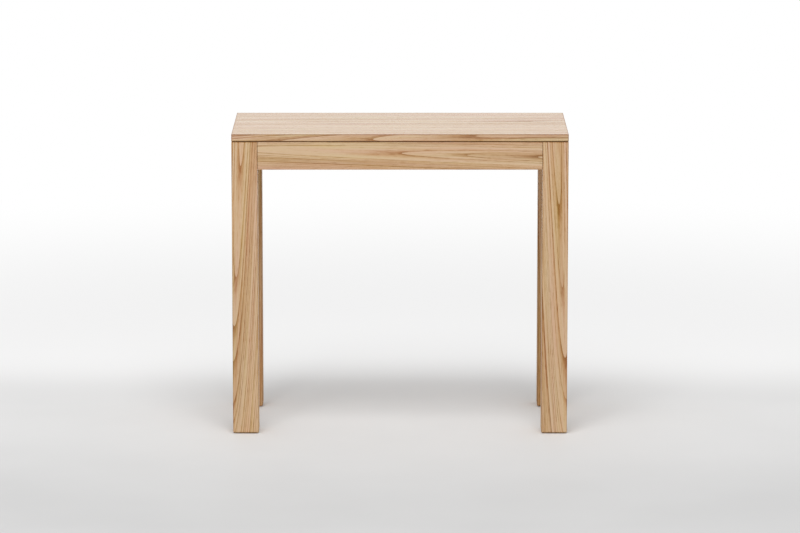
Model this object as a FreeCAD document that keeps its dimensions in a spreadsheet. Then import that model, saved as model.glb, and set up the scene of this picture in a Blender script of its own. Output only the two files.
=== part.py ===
import FreeCAD, Part
import Sketcher
import os
import re

# An extendable console table. Two leg frames, front and rear, stand under a flat top. The top is
# screwed to the front frame. The rear frame hangs on two telescopes of aluminium rails and slides out
# backwards, so that loose leaves can be laid on the rails.
# X runs along the width, -Y is the front, Z is up, and the floor is z = 0. All sizes are millimetres.

SIZES = {
    # the outside
    "table_width": 850,
    "table_depth": 400,
    "table_height": 770,
    "top_thickness": 18,
    "reveal": 2,               # shadow gap between the top and both leg frames
    "leg_side": 65,
    "apron_height": 70,
    "apron_thickness": 22,
    "arris": 0.8,              # rounding of the edges of legs and aprons
    "top_arris": 0.5,          # rounding of the edges of the top
    "quirk_width": 1,          # shadow groove in the face of an apron where it meets a leg
    "quirk_depth": 4,
    # the bearers that carry the rails
    "bearer_thickness": 22,
    "bearer_height": 62,
    "bearer_end_gap": 5,       # outer bearer to the closed rear leg
    "hidden_arris": 1,
    "batten_height": 40,
    "batten_setback": 3,       # cross batten behind the front ends of the inner bearers
    # the rails
    "rail_height": 50,
    "rail_wall": 2.5,
    "channel_depth": 5.5,
    "lip_height": 8,
    "rail_gap": 1,             # between neighbouring rails, and between rails and top
    "rail_end_gap": 2.5,       # rail ends to the aprons
    # the nylon sliders
    "slider_length": 45,
    "slider_play": 0.3,
    "slider_peg_radius": 4,
    "slider_lead": 1.5,        # chamfer on the sliding head
    # closing stop and parts in the reveal
    "closing_gap": 0.3,
    "bumper_thickness": 2.5,
    "bumper_radius": 6,
    "spacer_radius": 7,
    "pad_play": 0.3,
    # floor glides
    "glide_thickness": 2,
    "glide_radius": 14,
    "glide_pin_radius": 2,
    "glide_pin_length": 16,
    # leg joints
    "dowel_radius": 4,
    "dowel_length": 40,
    "dowel_bevel": 1,
    "dowel_inset": 15,         # dowel to the upper or lower edge of the apron
    "cam_radius": 7.5,
    "cam_depth": 12.5,
    "cam_inset": 34,           # cam centre to the apron end
    "cam_slot": 1.6,           # width of the cross recess
    "cam_cross": 9,            # length of its arms
    "cam_cross_depth": 2.5,
    "bolt_radius": 3,
    "bolt_neck_radius": 2,
    "bolt_head_radius": 3,
    "bolt_bite": 11,           # threaded length in the leg
    # screws
    "screw_radius": 2,
    "screw_head_radius": 4,
    "screw_head_height": 2,
    "top_screw_bite": 12,
    "top_screw_length": 43,
    "leg_screw_length": 45,
    "rail_screw_length": 11,
    "bracket_screw_length": 12,
    "fit_gap": 0.1,            # air around every fastener
    # corner brackets
    "bracket_leg": 40,
    "bracket_height": 36,
    "bracket_thickness": 2.5,
    "bracket_bend": 1.5,       # inner radius of the bend
    # sockets for the pins of the first leaf
    "socket_radius": 4.1,
    "socket_depth": 26,
    "socket_spread": 600,
}

# Levels, faces and lengths that follow from the sizes above.
DERIVED = {
    "half_width": "table_width / 2",
    "half_depth": "table_depth / 2",
    "top_underside": "table_height - top_thickness",
    "frame_top": "top_underside - reveal",
    "apron_middle": "frame_top - apron_height / 2",
    "leg_centre_x": "half_width - leg_side / 2",
    "leg_centre_y": "half_depth - leg_side / 2",
    "leg_face": "half_width - leg_side",
    "apron_back": "half_depth - apron_thickness",
    "apron_centre": "half_depth - apron_thickness / 2",
    "bearer_front": "-apron_back",
    "bearer_rear": "half_depth - leg_side - bearer_end_gap",
    "bearer_bottom": "top_underside - bearer_height",
    "bearer_face": "leg_face - bearer_thickness",
    "rail_top": "top_underside - rail_gap",
    "rail_middle": "rail_top - rail_height / 2",
    "rail_length": "2 * (apron_back - rail_end_gap)",
    "end_rail_width": "2 * rail_wall + channel_depth",
    "mid_rail_width": "3 * rail_wall + 2 * channel_depth",
    "rail_pitch": "mid_rail_width + rail_gap",
    "channel_half": "rail_height / 2 - rail_wall",
    "slot_half": "rail_height / 2 - lip_height",
    "head_half": "channel_half - slider_play",
    "neck_half": "slot_half - slider_play",
    "web_spacing": "2 * channel_depth + 2 * rail_wall + rail_gap",
    "stop_front": "-(apron_back - bumper_thickness - closing_gap)",
    "inner_length": "apron_back - stop_front",
    "batten_front": "stop_front + batten_setback",
    "batten_rear": "batten_front + bearer_thickness",
    "screw_row": "frame_top - bearer_height / 2",
}

RAILS = 7                      # on each side: one on the table, five floating, one on the rear frame
SIDES = {"left": -1, "right": 1}
ENDS = {"front": -1, "rear": 1}

AXES = {
    "+X": FreeCAD.Rotation(FreeCAD.Vector(0, 1, 0), 90),
    "-X": FreeCAD.Rotation(FreeCAD.Vector(0, 1, 0), -90),
    "+Y": FreeCAD.Rotation(FreeCAD.Vector(1, 0, 0), -90),
    "-Y": FreeCAD.Rotation(FreeCAD.Vector(1, 0, 0), 90),
    "+Z": FreeCAD.Rotation(),
    "-Z": FreeCAD.Rotation(FreeCAD.Vector(1, 0, 0), 180),
}

doc = FreeCAD.newDocument("console_table")
sheet = doc.addObject("Spreadsheet::Sheet", "dims")
for row, (alias, value) in enumerate(SIZES.items(), 1):
    sheet.set(f"A{row}", str(value))
    sheet.setAlias(f"A{row}", alias)
doc.recompute()

nodes = []                     # the finished sub-parts, in the order they are made


def formula(text):
    """Turn names of sizes into references to the spreadsheet."""
    def swap(match):
        word = match.group()
        if word in SIZES:
            return "dims." + word
        if word in DERIVED:
            return "(" + formula(DERIVED[word]) + ")"
        raise ValueError("unknown size " + word)
    return re.sub(r"[a-z_]+", swap, str(text))


def number(text):
    return float(sheet.evalExpression(formula(text)))


def bind(thing, **properties):
    for name, text in properties.items():
        thing.setExpression(name, formula(text))


def put(thing, x, y, z):
    for axis, text in zip("xyz", (x, y, z)):
        thing.setExpression("Placement.Base." + axis, formula(text))


def finished(thing, label):
    """Give a finished sub-part its own name and keep it for export."""
    thing.Label = label
    nodes.append(thing)
    return thing


def outline(body, plane, points):
    """Draw a closed outline whose corners are all bound to sizes."""
    sketch = body.newObject("Sketcher::SketchObject", body.Name + "_outline")
    support = next(item for item in body.Origin.OriginFeatures if item.Role == plane)
    sketch.AttachmentSupport = [(support, "")]
    sketch.MapMode = "FlatFace"
    corners = [FreeCAD.Vector(number(u), number(v), 0) for u, v in points]
    count = len(corners)
    for i in range(count):
        sketch.addGeometry(Part.LineSegment(corners[i], corners[(i + 1) % count]), False)
    for i in range(count):
        sketch.addConstraint(Sketcher.Constraint("Coincident", i, 2, (i + 1) % count, 1))
    for i, point in enumerate(points):
        for way, text in zip("XY", point):
            kind = "Distance" + way
            index = sketch.addConstraint(Sketcher.Constraint(kind, -1, 1, i, 1, number(text)))
            name = f"corner_{i}_{way.lower()}"
            sketch.renameConstraint(index, name)
            sketch.setExpression("Constraints." + name, formula(text))
    return sketch


def bar(name, plane, points, length, both_ways=False):
    """A body padded from an outline, in the direction of the plane's normal or both ways."""
    body = doc.addObject("PartDesign::Body", name)
    sketch = outline(body, plane, points)
    pad = body.newObject("PartDesign::Pad", name + "_pad")
    pad.Profile = sketch
    if both_ways:
        pad.SideType = "Symmetric"
    bind(pad, Length=length)
    return body


def upright_edges(shape, x, y):
    """Names of the upright edges of a shape at one place in plan."""
    names = []
    for i, edge in enumerate(shape.Edges, 1):
        box = edge.BoundBox
        spread = [box.XMin - x, box.XMax - x, box.YMin - y, box.YMax - y]
        if max(abs(value) for value in spread) < 1e-6:
            names.append(f"Edge{i}")
    return names


def fillet(body, names, radius):
    """Round the named edges of a body, or all of them when no name is given."""
    base = body.Tip
    feature = body.newObject("PartDesign::Fillet", body.Name + "_round")
    feature.Base = (base, names)
    feature.UseAllEdges = not names
    bind(feature, Radius=radius)
    doc.recompute()


def board(name, size_x, size_y, size_z, rounding):
    """A wooden board centred on its own origin in x and y, standing on z = 0."""
    x = f"({size_x}) / 2"
    y = f"({size_y}) / 2"
    points = [(f"-({x})", f"-({y})"), (x, f"-({y})"), (x, y), (f"-({x})", y)]
    body = bar(name, "XY_Plane", points, size_z)
    doc.recompute()
    fillet(body, [], rounding)
    return body


def revolved(name, section, air="0"):
    """A body turned about Z from a half section: pairs of a distance along the axis and a radius."""
    points = [(radius if radius == "0" else f"{radius} + {air}", along) for along, radius in section]
    points[-1] = (points[-1][0], f"{points[-1][1]} + {air}")
    if points[0][0] != "0":
        points.insert(0, ("0", points[0][1]))
    if points[-1][0] != "0":
        points.append(("0", points[-1][1]))
    body = doc.addObject("PartDesign::Body", name)
    sketch = outline(body, "XZ_Plane", points)
    turn = body.newObject("PartDesign::Revolution", name + "_turn")
    turn.Profile = sketch
    turn.ReferenceAxis = (sketch, ["V_Axis"])
    turn.Angle = 360
    return body


def pocket_into(body, points, depth):
    """Cut an outline into a body upwards from its own XY plane."""
    doc.recompute()
    pocket = body.newObject("PartDesign::Pocket", body.Name + "_pocket")
    pocket.Profile = outline(body, "XY_Plane", points)
    pocket.Reversed = True
    bind(pocket, Length=depth)


def copies(name, original, spots):
    """Linked copies of one body, each at a place and along an axis."""
    links = []
    for i, (x, y, z, axis) in enumerate(spots):
        link = doc.addObject("App::Link", f"{name}_{i}")
        link.LinkedObject = original
        link.Placement = FreeCAD.Placement(FreeCAD.Vector(), AXES[axis])
        put(link, x, y, z)
        links.append(link)
    group = doc.addObject("Part::Compound", name)
    group.Links = links
    return group


def joined(name, pieces):
    fuse = doc.addObject("Part::MultiFuse", name)
    fuse.Shapes = pieces
    return fuse


def fasteners(label, spots, section):
    """A group of equal turned pieces, and the slightly larger holes that they need."""
    finished(copies(label + "_group", revolved(label + "_original", section), spots), label)
    return holes(label, spots, section)


def holes(label, spots, section):
    return copies(label + "_holes", revolved(label + "_cutter", section, "fit_gap"), spots)


def drilled(body, label, tools):
    """The named sub-part: a body with its holes cut out."""
    cut = doc.addObject("Part::Cut", label + "_drilled")
    cut.Base = body
    cut.Tool = tools[0] if len(tools) == 1 else joined(label + "_tools", tools)
    return finished(cut, label)


def evenly(first, last, count):
    """Places from first to last at equal steps."""
    return [f"({first}) + (({last}) - ({first})) * {i} / {count - 1}" for i in range(count)]


def wood_screw(length, head):
    """Half section of a screw with a pointed end. The head is countersunk or round."""
    if head == "countersunk":
        top = [("0", "screw_head_radius"), ("screw_head_height", "screw_radius")]
    else:
        top = [("0", "screw_head_radius * 0.6"), ("screw_head_height / 2", "screw_head_radius"),
               ("screw_head_height", "screw_head_radius"), ("screw_head_height", "screw_radius")]
    return top + [(f"({length}) - 2 * screw_radius", "screw_radius"), (length, "0")]


# Leg frames: a front pair and a rear pair of legs, each with an apron between them. Two dowels and a
# cam lock hold every joint.

frame_tools = {}
for end, way in ENDS.items():
    joint_spots = []
    bolt_spots = []
    cam_spots = []
    glide_spots = []
    for side, out in SIDES.items():
        axis = "+X" if out > 0 else "-X"
        for height in ("frame_top - dowel_inset", "frame_top - apron_height + dowel_inset"):
            start = f"{out} * (leg_face - dowel_length / 2)"
            joint_spots.append((start, f"{way} * apron_centre", height, axis))
        bolt_spots.append((f"{out} * (leg_face - cam_inset)", f"{way} * apron_centre", "apron_middle", axis))
        cam_spots.append((f"{out} * (leg_face - cam_inset)", f"{way} * apron_back", "apron_middle",
                          "+Y" if way > 0 else "-Y"))
        glide_spots.append((f"{out} * leg_centre_x", f"{way} * leg_centre_y", "0", "+Z"))

    dowel_holes = fasteners(f"{end}_dowels", joint_spots, [
        ("0", "dowel_radius - dowel_bevel"), ("dowel_bevel", "dowel_radius"),
        ("dowel_length - dowel_bevel", "dowel_radius"), ("dowel_length", "dowel_radius - dowel_bevel")])
    glide_holes = fasteners(f"{end}_leg_glides", glide_spots, [
        ("0", "glide_radius - glide_thickness / 2"), ("glide_thickness / 2", "glide_radius"),
        ("glide_thickness", "glide_radius"), ("glide_thickness", "glide_pin_radius"),
        ("glide_thickness + glide_pin_length - 2 * glide_pin_radius", "glide_pin_radius"),
        ("glide_thickness + glide_pin_length", "0")])

    # The bolt's round head sits in the cam, its neck crosses the apron end, its collar stops at the
    # leg and its thread bites into the leg.
    fasteners(f"{end}_cam_bolts", bolt_spots, [
        ("-bolt_head_radius", "bolt_head_radius / 2"), ("-bolt_head_radius / 2", "bolt_head_radius"),
        ("bolt_head_radius / 2", "bolt_head_radius"), ("bolt_head_radius", "bolt_neck_radius"),
        ("cam_inset - 2 * bolt_radius", "bolt_neck_radius"), ("cam_inset - bolt_radius", "bolt_radius"),
        ("cam_inset + bolt_bite - bolt_radius", "bolt_radius"), ("cam_inset + bolt_bite", "0")])
    bolt_holes = holes(f"{end}_cam_bolt_bores", bolt_spots, [
        ("-bolt_head_radius", "bolt_head_radius"),
        ("cam_inset + bolt_bite - bolt_radius", "bolt_head_radius"), ("cam_inset + bolt_bite", "0")])

    # Cam locks are short drums with a cross recess for the screwdriver and a hollow for the bolt head.
    drum_section = [("0", "cam_radius"), ("cam_depth", "cam_radius")]
    drum = revolved(f"{end}_cam_drum", drum_section)
    arm = "cam_cross / 2"
    half_slot = "cam_slot / 2"
    quarter = [(half_slot, arm), (half_slot, half_slot), (arm, half_slot)]
    cross = quarter + [(u, f"-({v})") for u, v in reversed(quarter)]
    cross += [(f"-({u})", v) for u, v in reversed(cross)]
    pocket_into(drum, cross, "cam_cross_depth")
    hollow = doc.addObject("Part::Cut", f"{end}_cam_hollow")
    hollow.Base = copies(f"{end}_cam_drums", drum, cam_spots)
    hollow.Tool = bolt_holes
    finished(hollow, f"{end}_cam_locks")
    cam_holes = holes(f"{end}_cam_pockets", cam_spots, drum_section)

    frame_tools[end] = {
        "leg": [dowel_holes, bolt_holes, glide_holes],
        "apron": [dowel_holes, bolt_holes, cam_holes],
    }


# Bearers: the outer pair is screwed to the front legs and carries the top and the first rails. The inner
# pair is bracketed to the rear apron and carries the last rails.

top_spots = []
leg_spots = []
fixed_spots = []
moving_spots = []
inner_face = f"bearer_face - 2 * end_rail_width - {RAILS - 1} * rail_gap - {RAILS - 2} * mid_rail_width"
for side, out in SIDES.items():
    outward = "+X" if out > 0 else "-X"
    inward = "-X" if out > 0 else "+X"
    for y in evenly("bearer_front + bearer_thickness * 2.5", "bearer_rear - bearer_thickness * 2.5", 3):
        top_spots.append((f"{out} * (bearer_face + bearer_thickness / 2)", y,
                          "top_underside + top_screw_bite - top_screw_length", "+Z"))
    leg_screw_y = "-half_depth + (leg_side + apron_thickness) / 2"
    for z in ("bearer_bottom + bearer_height / 6", "top_underside - bearer_height / 6"):
        leg_spots.append((f"{out} * bearer_face", leg_screw_y, z, outward))
    for y in evenly("bearer_front + bearer_thickness", "bearer_rear - bearer_thickness", 4):
        fixed_spots.append((f"{out} * (bearer_face - rail_wall)", y, "rail_middle", outward))
    for y in evenly("stop_front + slider_length + bearer_thickness / 2", "apron_back - bearer_thickness", 4):
        moving_spots.append((f"{out} * ({inner_face} + rail_wall)", y, "rail_middle", inward))

# Each top screw stands in a deep counterbore, because the bearer is higher than the screw is long.
top_screw = wood_screw("top_screw_length", "round")
fasteners("top_screws", top_spots, top_screw)
top_screw_holes = holes("top_screw_bores", top_spots, [
    ("-(bearer_height + top_screw_bite - top_screw_length)", "screw_head_radius")] + top_screw[2:])
leg_screw_holes = fasteners("bearer_screws", leg_spots, wood_screw("leg_screw_length", "countersunk"))
rail_screw = wood_screw("rail_screw_length", "countersunk")
fixed_rail_holes = fasteners("fixed_rail_screws", fixed_spots, rail_screw)
moving_rail_holes = fasteners("moving_rail_screws", moving_spots, rail_screw)

for side, out in SIDES.items():
    outer = board(f"{side}_outer_blank", "bearer_thickness", "bearer_rear - bearer_front", "bearer_height",
                  "hidden_arris")
    put(outer, f"{out} * (bearer_face + bearer_thickness / 2)", "(bearer_rear + bearer_front) / 2",
        "bearer_bottom")
    drilled(outer, f"{side}_outer_bearer", [top_screw_holes, leg_screw_holes, fixed_rail_holes])


# Rear-frame corners: steel angles tie the inner bearers to the rear apron and to the cross batten.

brackets = []
bracket_spots = []
beam_face = f"({inner_face} - bearer_thickness)"
corners = {"rear": ("apron_back", -1), "batten": ("batten_rear", 1)}
for side, out in SIDES.items():
    for place, (wall, way) in corners.items():
        name = f"{side}_{place}_bracket"
        bend = "bracket_thickness"
        points = [("0", "0"), (f"{-out} * bracket_leg", "0"), (f"{-out} * bracket_leg", f"{way} * {bend}"),
                  (f"{-out} * {bend}", f"{way} * {bend}"), (f"{-out} * {bend}", f"{way} * bracket_leg"),
                  ("0", f"{way} * bracket_leg")]
        angle = bar(name, "XY_Plane", points, "bracket_height")
        doc.recompute()
        inside = upright_edges(angle.Tip.Shape, -out * number(bend), way * number(bend))
        fillet(angle, inside, "bracket_bend")
        fillet(angle, upright_edges(angle.Tip.Shape, 0, 0), f"bracket_bend + {bend}")
        put(angle, f"{out} * {beam_face}", wall, "screw_row - bracket_height / 2")
        brackets.append(angle)
        head = "(bracket_thickness + screw_head_height)"
        along = "bracket_leg * 0.65"
        for z in ("screw_row - bracket_height / 4", "screw_row + bracket_height / 4"):
            bracket_spots.append((f"{out} * ({beam_face} - {head})", f"{wall} + {way} * {along}", z,
                                  "+X" if out > 0 else "-X"))
            bracket_spots.append((f"{out} * ({beam_face} - {along})", f"{wall} + {way} * {head}", z,
                                  "-Y" if way > 0 else "+Y"))
bracket_screw = wood_screw("screw_head_height + bracket_screw_length", "round")
bracket_holes = fasteners("bracket_screws", bracket_spots, bracket_screw)
drilled(joined("bracket_set", brackets), "corner_brackets", [bracket_holes])

for side, out in SIDES.items():
    inner = board(f"{side}_inner_blank", "bearer_thickness", "inner_length", "rail_top - bearer_bottom",
                  "hidden_arris")
    put(inner, f"{out} * ({beam_face} + bearer_thickness / 2)", "(apron_back + stop_front) / 2",
        "bearer_bottom")
    drilled(inner, f"{side}_inner_bearer", [moving_rail_holes, bracket_holes])
batten = board("batten_blank", f"2 * {beam_face}", "bearer_thickness", "batten_height", "hidden_arris")
put(batten, "0", "(batten_front + batten_rear) / 2", "screw_row - batten_height / 2")
drilled(batten, "cross_batten", [bracket_holes])


# Legs, aprons and top.

for end, way in ENDS.items():
    for side, out in SIDES.items():
        leg = board(f"{end}_{side}_leg_blank", "leg_side", "leg_side", "frame_top - glide_thickness",
                    "arris")
        put(leg, f"{out} * leg_centre_x", f"{way} * leg_centre_y", "glide_thickness")
        tools = frame_tools[end]["leg"] + ([leg_screw_holes] if end == "front" else [])
        drilled(leg, f"{end}_{side}_leg", tools)
    apron = board(f"{end}_apron_blank", "2 * leg_face", "apron_thickness", "apron_height", "arris")
    put(apron, "0", f"{way} * apron_centre", "frame_top - apron_height")
    quirks = []
    for side, out in SIDES.items():
        quirk = doc.addObject("Part::Box", f"{end}_{side}_quirk")
        bind(quirk, Length="quirk_width", Width="quirk_depth", Height="apron_height")
        put(quirk, f"{out} * (leg_face - quirk_width / 2) - quirk_width / 2",
            f"{way} * (half_depth - quirk_depth / 2) - quirk_depth / 2", "frame_top - apron_height")
        quirks.append(quirk)
    tools = frame_tools[end]["apron"] + quirks + ([bracket_holes] if end == "rear" else [])
    drilled(apron, f"{end}_apron", tools)

top = board("top_blank", "table_width", "table_depth", "top_thickness", "top_arris")
put(top, "0", "0", "top_underside")
socket_spots = [(f"{out} * socket_spread / 2", "half_depth", "table_height - top_thickness / 2", "-Y")
                for out in SIDES.values()]
socket = revolved("socket_cutter", [("0", "socket_radius"), ("socket_depth", "socket_radius")])
sockets = copies("sockets", socket, socket_spots)
drilled(top, "top_panel", [top_screw_holes, sockets])


# The reveal: spacers fill it on the front frame, shorter pads leave play for the sliding rear frame.

reveal_parts = {"front": ("top_spacers", "reveal"), "rear": ("top_glide_pads", "reveal - pad_play")}
for end, way in ENDS.items():
    label, height = reveal_parts[end]
    spots = [(f"{out} * leg_centre_x", f"{way} * leg_centre_y", "frame_top", "+Z") for out in (-1, 1)]
    spots += [(f"{out} * leg_face / 2", f"{way} * apron_centre", "frame_top", "+Z") for out in (-1, 0, 1)]
    disc = [("0", "spacer_radius"), (height, "spacer_radius")]
    finished(copies(label + "_group", revolved(label + "_disc", disc), spots), label)

bumper = [("0", "bumper_radius"), ("bumper_thickness / 2", "bumper_radius"),
          ("bumper_thickness", "bumper_radius / 2")]
bumper_spots = [(f"{out} * ({beam_face} + bearer_thickness / 2)", "-apron_back", "screw_row", "+Y")
                for out in SIDES.values()]
finished(copies("bumper_pair", revolved("bumper_original", bumper), bumper_spots), "closing_bumpers")


# The telescopes. Every rail is an extrusion with lipped channels: the end rails have one channel, the
# floating rails have two, back to back. Distances inside a telescope are counted inwards from the outer
# bearer.

def rail_start(rail):
    if rail == 1:
        return "0"
    return f"(end_rail_width + rail_gap + {rail - 2} * rail_pitch)"


def web_side(rail):
    """Outer face of the rail's web, counted inwards from the start of the rail."""
    return "0" if rail == 1 else "(rail_wall + channel_depth)"


def profile(rail):
    """Upper half of a rail's section, from its outer to its inner side, as depth and height."""
    half = "rail_height / 2"
    web = web_side(rail)
    section = [("0", half)]
    if rail > 1:
        section = [(web, "channel_half"), ("rail_wall", "channel_half"), ("rail_wall", "slot_half"),
                   ("0", "slot_half")] + section
    wide = "end_rail_width" if rail in (1, RAILS) else "mid_rail_width"
    section.append((wide, half))
    if rail < RAILS:
        lip = f"({wide} - rail_wall)"
        section += [(wide, "slot_half"), (lip, "slot_half"), (lip, "channel_half"),
                    (f"{web} + rail_wall", "channel_half")]
    return section


def rail_body(name, rail, out):
    upper = profile(rail)
    lower = [(depth, f"-({height})") for depth, height in reversed(upper)]
    points = [(f"{-out} * ({depth})", height) for depth, height in upper + lower]
    body = bar(name, "XZ_Plane", points, "rail_length", both_ways=True)
    put(body, f"{out} * (bearer_face - {rail_start(rail)})", "0", "rail_middle")
    return body


def slider(name, rail, out, way):
    """A nylon slider: one head is pegged in its own rail, the other runs in the neighbour's channel."""
    inward = -out if way > 0 else out
    web = f"({web_side(rail)} + rail_wall)" if way > 0 else web_side(rail)
    lips = "(channel_depth + 2 * rail_wall + rail_gap)"
    far = "(web_spacing - slider_play)"
    near_head = "(channel_depth - slider_play)"
    far_head = f"({lips} + slider_play)"
    upper = [("0", "head_half"), (near_head, "head_half"), (near_head, "neck_half"),
             (far_head, "neck_half"), (far_head, "head_half"),
             (f"({far} - slider_lead)", "head_half"), (far, "(head_half - slider_lead)")]
    lower = [(depth, f"-({height})") for depth, height in reversed(upper)]
    points = [(f"{inward} * ({depth})", height) for depth, height in upper + lower]
    body = bar(name, "XZ_Plane", points, "slider_length", both_ways=True)
    x = f"{out} * (bearer_face - {rail_start(rail)} - {web})"
    y = f"{way} * (rail_length - slider_length) / 2"
    put(body, x, y, "rail_middle")
    peg_axis = "+X" if inward < 0 else "-X"
    spot = (x, y, "rail_middle", peg_axis)
    peg = copies(name + "_peg", peg_body, [spot])
    hole = copies(name + "_hole", peg_cutter, [spot])
    return [body, peg], [hole]


peg_body = revolved("slider_peg", [("0", "slider_peg_radius"), ("rail_wall - fit_gap", "slider_peg_radius")])
peg_cutter = revolved("slider_peg_cutter", [("0", "slider_peg_radius"), ("rail_wall", "slider_peg_radius")],
                      "fit_gap")
for side, out in SIDES.items():
    for rail in range(1, RAILS + 1):
        label = f"{side}_rail_{rail}"
        body = rail_body(label + "_extrusion", rail, out)
        shoes = []
        tools = []
        if rail < RAILS:
            shoe, hole = slider(label + "_rear_slider", rail, out, 1)
            shoes += shoe
            tools += hole
        if rail > 1:
            shoe, hole = slider(label + "_front_slider", rail, out, -1)
            shoes += shoe
            tools += hole
        if rail == 1:
            tools.append(fixed_rail_holes)
        if rail == RAILS:
            tools.append(moving_rail_holes)
        drilled(body, label, tools)
        finished(joined(label + "_slider_set", shoes), label + "_sliders")


# Check every object, then write one file for each sub-part.

doc.recompute()
for thing in doc.Objects:
    if "Invalid" in thing.State or "Error" in thing.State:
        raise RuntimeError("failed: " + thing.Label)
os.makedirs("parts", exist_ok=True)
for node in nodes:
    shape = node.Shape
    if shape.isNull() or not shape.isValid() or not shape.Solids:
        raise RuntimeError("bad shape: " + node.Label)
    shape.exportStep(f"parts/{node.Label}.step")
print(len(nodes), "sub-parts written")
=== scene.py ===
# %% [markdown]
# # Dressing an extendable console table
#
# The table is built in CAD, down to the screws. This lesson keeps every solid where it is and gives it its
# finish: oak boards, beech bearers, aluminium rails, nylon, zinc, felt and rubber. Only screws and legs are
# remade with details that the solids leave out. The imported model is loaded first, because every later step
# asks it for places and sizes instead of guessing them.

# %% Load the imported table
import math

import bpy
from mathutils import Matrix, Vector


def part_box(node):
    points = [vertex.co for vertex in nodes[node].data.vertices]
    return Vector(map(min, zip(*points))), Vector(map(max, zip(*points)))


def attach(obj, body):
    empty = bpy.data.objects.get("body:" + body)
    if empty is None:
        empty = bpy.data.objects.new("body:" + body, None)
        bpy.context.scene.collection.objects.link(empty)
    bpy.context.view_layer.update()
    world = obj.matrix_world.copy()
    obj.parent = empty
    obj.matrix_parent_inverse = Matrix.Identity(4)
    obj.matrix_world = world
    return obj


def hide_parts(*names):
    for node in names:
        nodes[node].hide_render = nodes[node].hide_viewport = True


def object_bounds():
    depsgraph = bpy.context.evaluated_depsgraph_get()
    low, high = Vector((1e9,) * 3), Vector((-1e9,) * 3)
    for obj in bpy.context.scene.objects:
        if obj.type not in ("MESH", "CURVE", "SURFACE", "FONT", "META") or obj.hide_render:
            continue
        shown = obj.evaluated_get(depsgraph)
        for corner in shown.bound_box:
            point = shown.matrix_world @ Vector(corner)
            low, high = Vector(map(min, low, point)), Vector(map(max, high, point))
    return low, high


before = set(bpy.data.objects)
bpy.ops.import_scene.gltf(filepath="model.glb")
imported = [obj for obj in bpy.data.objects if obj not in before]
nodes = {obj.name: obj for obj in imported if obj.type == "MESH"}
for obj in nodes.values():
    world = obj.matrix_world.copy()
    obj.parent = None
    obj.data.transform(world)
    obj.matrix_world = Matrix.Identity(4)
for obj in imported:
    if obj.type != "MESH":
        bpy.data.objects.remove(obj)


def rounded(box):
    """The two corners of a box, in metres and short enough to print."""
    return [[round(value, 3) for value in corner] for corner in box]


cad_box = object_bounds()
print("pieces:", len(nodes), "- table box:", rounded(cad_box))

# %% [markdown]
# ## Helpers for node trees
#
# Every finish below is a small program made of shader nodes. Adding a node, setting it and linking it takes
# three or four lines of Blender code each time, so a few short helpers do that work. Most of them return
# a socket, which lets one step feed the next as in ordinary arithmetic.

# %% Add, feed and calculate
def feed(tree, node, sockets):
    """Link a node's inputs to the outputs of others, or set them to plain values."""
    for key, value in sockets.items():
        if isinstance(value, bpy.types.NodeSocket):
            tree.links.new(value, node.inputs[key])
        else:
            node.inputs[key].default_value = value


def add(tree, kind, sockets=None, **settings):
    """Add a node, set its properties and feed its inputs."""
    node = tree.nodes.new("ShaderNode" + kind)
    for name, value in settings.items():
        setattr(node, name, value)
    feed(tree, node, sockets or {})
    return node


def calc(tree, operation, *values):
    """One step of arithmetic on numbers or masks."""
    return add(tree, "Math", dict(enumerate(values)), operation=operation).outputs["Value"]


def vector_calc(tree, operation, *values):
    """The same for places and directions. Only the length of a vector is a plain number."""
    node = add(tree, "VectorMath", dict(enumerate(values)), operation=operation)
    return node.outputs["Value" if operation == "LENGTH" else "Vector"]


def axes(tree, vector):
    """The parts X, Y and Z of a vector."""
    return add(tree, "SeparateXYZ", {"Vector": vector}).outputs


print("helpers for nodes ready")

# %% [markdown]
# Three more helpers make the masks that all finishes share: noise that can be stretched along one axis,
# a mask that swings to both sides of zero, and a change from one level to another.

# %% Noise, swings and fades
def stretched_noise(tree, vector, stretch, seed, detail=2.0):
    """Cloudy noise, 0 to 1, with its own count of blobs per metre along each axis."""
    spread = vector_calc(tree, "MULTIPLY", vector, stretch)
    sockets = {"Vector": spread, "W": seed, "Scale": 1.0, "Detail": detail}
    return add(tree, "TexNoise", sockets, noise_dimensions="4D").outputs["Fac"]


def about_zero(tree, mask, strength):
    """Turn a mask around one half into a swing around zero."""
    return calc(tree, "MULTIPLY", calc(tree, "SUBTRACT", mask, 0.5), strength)


def fade(tree, value, start, end, low=0.0, high=1.0, way="SMOOTHSTEP"):
    """Go from the low level to the high one while a value goes from start to end."""
    sockets = {"Value": value, "From Min": start, "From Max": end, "To Min": low, "To Max": high}
    return add(tree, "MapRange", sockets, interpolation_type=way).outputs["Result"]


print("helpers for masks ready")

# %% [markdown]
# ## Growth rings
#
# A board is cut out of a trunk, and the rings of the trunk are what draws its figure: long arches where the
# cut runs nearly along the rings, close stripes where it runs across them. A picture of wood would stop at
# every edge. Here the rings are worked out in space around the trunk's heart, so faces, edges and ends of
# a board agree. The group is built once and every kind of wood uses it with its own values.

# %% Node group for growth rings
def new_group(name, inputs, outputs):
    """An empty node group with named sockets: its tree, what it is given and the node for its results."""
    tree = bpy.data.node_groups.new(name, "ShaderNodeTree")
    for socket, kind in inputs:
        tree.interface.new_socket(socket, in_out="INPUT", socket_type="NodeSocket" + kind)
    for socket, kind in outputs:
        tree.interface.new_socket(socket, in_out="OUTPUT", socket_type="NodeSocket" + kind)
    return tree, tree.nodes.new("NodeGroupInput").outputs, tree.nodes.new("NodeGroupOutput")


BENDS = (1.3, 9.0, 9.0)        # slow bends of a trunk per metre: along it, across it, into it
UNEVEN = 0.31                  # how often the width of the rings changes, per ring
SHIFT = 2.0                    # rings between the earliest and the latest place of one ring


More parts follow.
